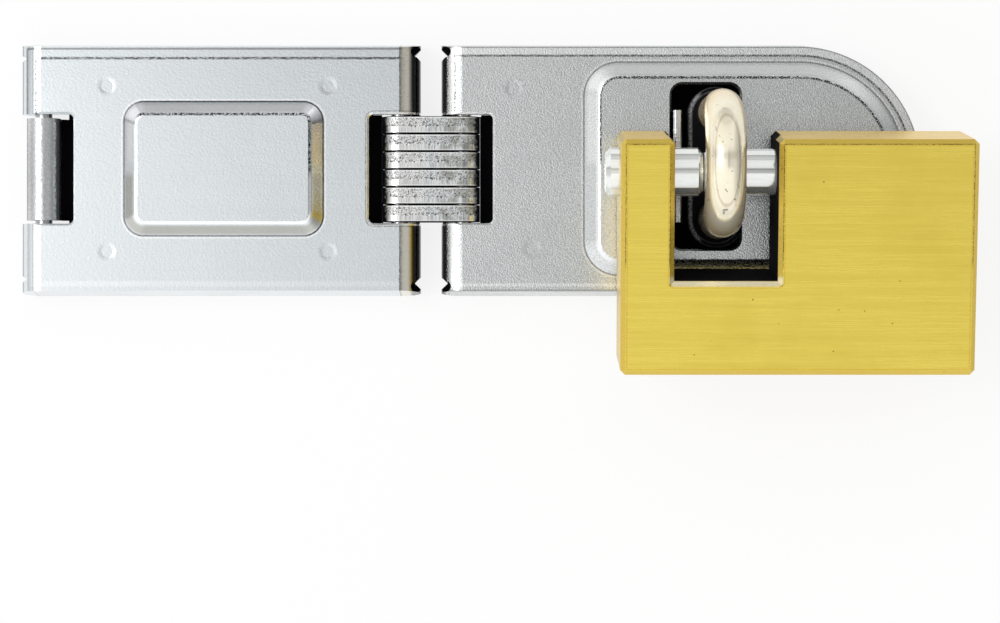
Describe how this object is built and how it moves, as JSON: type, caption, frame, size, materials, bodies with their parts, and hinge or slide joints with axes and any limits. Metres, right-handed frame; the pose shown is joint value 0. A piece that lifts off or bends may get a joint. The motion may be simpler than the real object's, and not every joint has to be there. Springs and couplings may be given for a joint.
{
  "type": "hasp and padlock",
  "caption": "Double-hinged steel hasp with laminated links, locked at its staple eye by a rectangular brass padlock with a sliding bolt.",
  "frame": {"origin": "middle of the base plate's four screw holes, on the door plane", "axes": "+X along the hasp from the hinged end to the round end, +Y across it, +Z away from the door"},
  "size_m": [0.1646, 0.058, 0.0336],
  "materials": {
    "zinc_leaf": "satin zinc plate, drawn grain",
    "zinc_plate": "satin zinc plate",
    "steel_link": "sheared and zinc plated",
    "steel_pin": "turned steel",
    "nickel_eye": "polished nickel",
    "chrome_bolt": "bright chrome plate",
    "brass_block": "brushed along the block",
    "brass_plug": "machined brass",
    "spring_steel": "drawn spring wire"
  },
  "bodies": {
    "base": {"base_plate": "zinc_plate", "base_hinge_pin": "steel_pin"},
    "cover": {"cover_leaf": "zinc_leaf", "cover_leaf_liner": "zinc_plate", "link_pin_left": "steel_pin"},
    "links": {"hinge_link_1": "steel_link", "hinge_link_2": "steel_link", "hinge_link_3": "steel_link", "hinge_link_4": "steel_link", "hinge_link_5": "steel_link", "hinge_link_6": "steel_link"},
    "leaf": {"slotted_leaf": "zinc_leaf", "slotted_leaf_liner": "zinc_plate", "link_pin_right": "steel_pin", "staple_plate": "zinc_plate", "staple_eye": "nickel_eye"},
    "padlock": {"padlock_body": "brass_block", "ear_stub": "chrome_bolt", "bolt_spring": "spring_steel", "bolt_stop_pin": "steel_pin", "plug_retainer": "steel_pin", "driver_pins": "brass_plug", "pin_springs": "spring_steel", "chamber_plugs": "brass_plug", "locking_dog": "steel_pin", "dog_spring": "spring_steel"},
    "bolt": {"locking_bolt": "chrome_bolt"},
    "plug": {"cylinder_plug": "brass_plug", "key_pins": "brass_plug"}
  },
  "joints": [
    {"name": "base_hinge", "type": "hinge", "parent": "base", "child": "cover", "pos_m": [-0.03, 0, 0.00375], "axis": [0, -1, 0], "range_deg": [0, 170]},
    {"name": "link_hinge_left", "type": "hinge", "parent": "cover", "child": "links", "pos_m": [0.0327, 0, 0.00375], "axis": [0, -1, 0], "range_deg": [-90, 60]},
    {"name": "link_hinge_right", "type": "hinge", "parent": "links", "child": "leaf", "pos_m": [0.04385, 0, 0.00375], "axis": [0, -1, 0], "range_deg": [-90, 60]},
    {"name": "padlock_swing", "type": "hinge", "parent": "leaf", "child": "padlock", "pos_m": [0.0885, -0.0012, 0.0208], "axis": [-1, 0, 0], "range_deg": [0, 185]},
    {"name": "bolt_slide", "type": "slide", "parent": "padlock", "child": "bolt", "axis": [1, 0, 0], "range_m": [0, 0.0122], "deforming": ["bolt_spring"]},
    {"name": "plug_turn", "type": "hinge", "parent": "padlock", "child": "plug", "pos_m": [0.11399, -0.0012, 0.0208], "axis": [0, 0.9896, 0.1439], "range_deg": [0, 90]}
  ]
}
